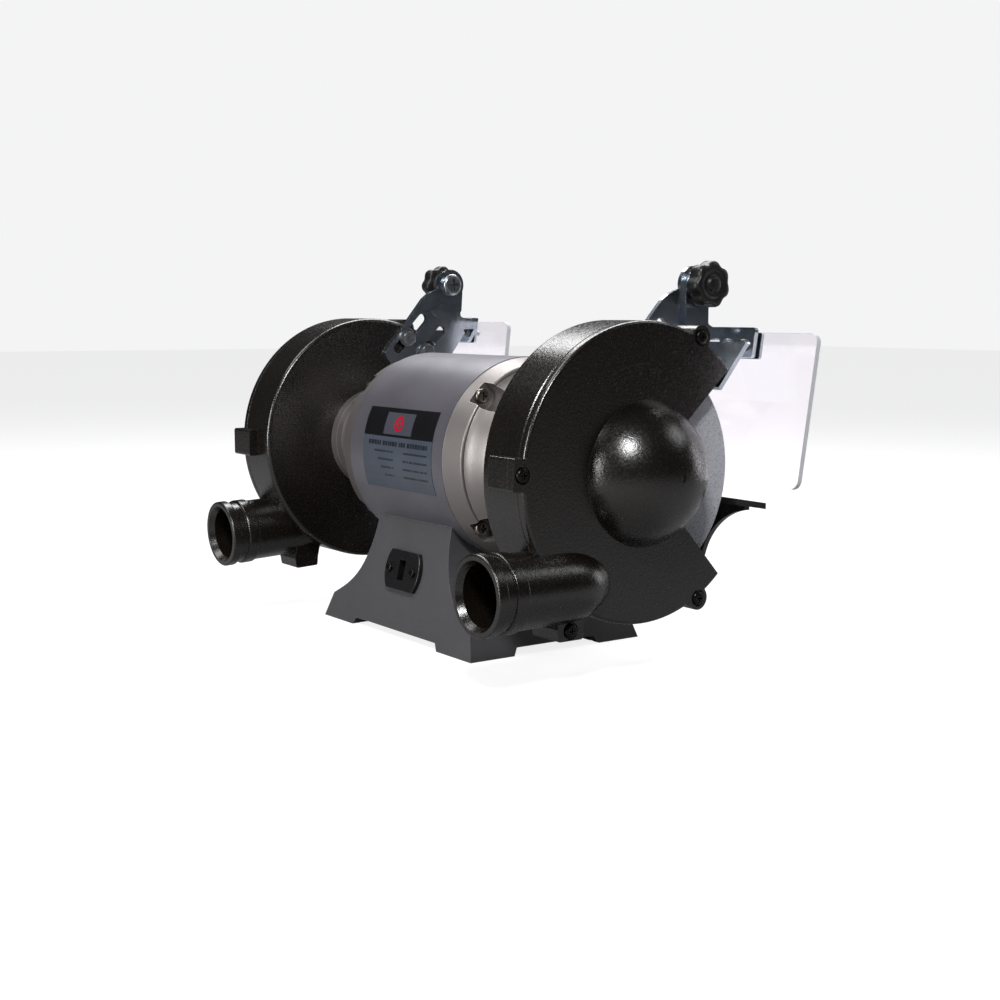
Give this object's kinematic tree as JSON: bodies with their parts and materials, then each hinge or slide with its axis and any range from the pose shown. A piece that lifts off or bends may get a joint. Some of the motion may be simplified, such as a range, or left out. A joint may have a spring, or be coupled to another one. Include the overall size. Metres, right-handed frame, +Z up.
{
  "type": "bench grinder",
  "caption": "Double-ended bench grinder with guarded abrasive wheels, rear dust ports, tilting eye shields, spark guards, tool rests and a cast pedestal base.",
  "frame": {"origin": "on the bench plane, in the middle of the four mounting holes", "axes": "+X along the spindle to the operator's right, -Y towards the operator, +Z up"},
  "size_m": [0.444, 0.2308, 0.2588],
  "materials": {
    "base_paint": "textured grey enamel on cast iron",
    "motor_silver": "satin silver enamel on rolled steel",
    "bell_aluminium": "satin silver enamel on cast aluminium",
    "guard_black": "semi-gloss textured black enamel on castings",
    "rest_black": "semi-gloss black enamel on cast iron",
    "zinc_plate": "bright zinc plate",
    "zinc_screw": "bright zinc plate",
    "black_screw": "black phosphate",
    "nickel_screw": "nickel plate",
    "abrasive": "vitrified aluminium oxide grit",
    "bush_nylon": "moulded nylon",
    "blotter_paper": "compressed blotting paper",
    "clear_pane": "clear polycarbonate sheet",
    "knob_black": "moulded phenolic",
    "fitting_black": "moulded polyamide",
    "rocker_red": "moulded polycarbonate",
    "label_film": "printed polyester film",
    "core_steel": "stacked electrical steel",
    "ground_steel": "ground steel",
    "copper_wire": "varnished copper wire",
    "cast_aluminium": "die-cast",
    "sheet_steel": "black enamel on sheet steel",
    "capacitor_can": "moulded can",
    "terminal_nylon": "moulded nylon"
  },
  "bodies": {
    "frame": {"base": "base_paint", "bottom_plate": "sheet_steel", "bottom_plate_screws": "zinc_screw", "saddle_screws": "zinc_screw", "motor_shell": "motor_silver", "tie_bolts": "nickel_screw", "tie_nuts": "nickel_screw", "stator_core": "core_steel", "stator_windings": "copper_wire", "run_capacitor": "capacitor_can", "capacitor_clamp": "zinc_plate", "terminal_block": "terminal_nylon", "power_inlet": "fitting_black", "inlet_screws": "black_screw", "rating_label": "label_film", "switch_housing": "fitting_black", "bearing_outer_rings": "ground_steel", "bearing_preload_washer": "ground_steel", "guard_screws": "zinc_screw", "spark_plate_bolts": "zinc_screw", "tool_rest_bolts": "zinc_screw", "end_bell_left": "bell_aluminium", "end_bell_right": "bell_aluminium", "guard_left": "guard_black", "guard_right": "guard_black", "cover_left": "guard_black", "cover_right": "guard_black", "cover_screws_left": "black_screw", "cover_screws_right": "black_screw"},
    "rotor": {"shaft": "ground_steel", "rotor_core": "core_steel", "rotor_cage": "cast_aluminium", "bearing_inner_rings": "ground_steel", "bearing_balls": "ground_steel", "wheel_bushes": "bush_nylon", "wheel_flanges": "zinc_plate", "wheel_blotters": "blotter_paper", "wheel_left": "abrasive", "wheel_right": "abrasive", "arbor_nut_left": "zinc_screw", "arbor_nut_right": "zinc_screw"},
    "spark_guard_left": {"spark_plate_left": "zinc_plate", "pivot_bolt_left": "zinc_screw"},
    "eye_shield_left": {"shield_arm_left": "zinc_plate", "shield_pane_left": "clear_pane", "clamp_plates_left": "zinc_plate", "clamp_screws_left": "zinc_screw", "pivot_washer_left": "zinc_screw"},
    "clamp_knob_left": {"knob_left": "knob_black"},
    "work_rest_left": {"tool_rest_left": "rest_black"},
    "spark_guard_right": {"spark_plate_right": "zinc_plate", "pivot_bolt_right": "zinc_screw"},
    "eye_shield_right": {"shield_arm_right": "zinc_plate", "shield_pane_right": "clear_pane", "clamp_plates_right": "zinc_plate", "clamp_screws_right": "zinc_screw", "pivot_washer_right": "zinc_screw"},
    "clamp_knob_right": {"knob_right": "knob_black"},
    "work_rest_right": {"tool_rest_right": "rest_black"},
    "rocker": {"switch_rocker": "rocker_red"}
  },
  "joints": [
    {"name": "spindle_spin", "type": "hinge", "parent": "frame", "child": "rotor", "pos_m": [0, 0, 0.1245], "axis": [1, 0, 0], "continuous": true},
    {"name": "spark_slide_left", "type": "slide", "parent": "frame", "child": "spark_guard_left", "axis": [0, -0.7314, 0.682], "range_m": [-0.0035, 0.0045]},
    {"name": "shield_tilt_left", "type": "hinge", "parent": "spark_guard_left", "child": "eye_shield_left", "pos_m": [-0.141, -0.0755, 0.2398], "axis": [-1, 0, 0], "range_deg": [0, 70]},
    {"name": "knob_turn_left", "type": "hinge", "parent": "spark_guard_left", "child": "clamp_knob_left", "pos_m": [-0.15, -0.0755, 0.2398], "axis": [-1, 0, 0], "range_deg": [0, 360]},
    {"name": "rest_slide_left", "type": "slide", "parent": "frame", "child": "work_rest_left", "axis": [0, -1, 0], "range_m": [0, 0.01]},
    {"name": "spark_slide_right", "type": "slide", "parent": "frame", "child": "spark_guard_right", "axis": [0, -0.6947, 0.7193], "range_m": [-0.0035, 0.0045]},
    {"name": "shield_tilt_right", "type": "hinge", "parent": "spark_guard_right", "child": "eye_shield_right", "pos_m": [0.141, -0.06936, 0.24359], "axis": [-1, 0, 0], "range_deg": [0, 70]},
    {"name": "knob_turn_right", "type": "hinge", "parent": "spark_guard_right", "child": "clamp_knob_right", "pos_m": [0.15, -0.06936, 0.24359], "axis": [1, 0, 0], "range_deg": [0, 360]},
    {"name": "rest_slide_right", "type": "slide", "parent": "frame", "child": "work_rest_right", "axis": [0, -0.9986, 0.0523], "range_m": [0, 0.01]},
    {"name": "switch_press", "type": "hinge", "parent": "frame", "child": "rocker", "pos_m": [0, -0.05942, 0.045], "axis": [1, 0, 0], "range_deg": [0, 16]}
  ]
}
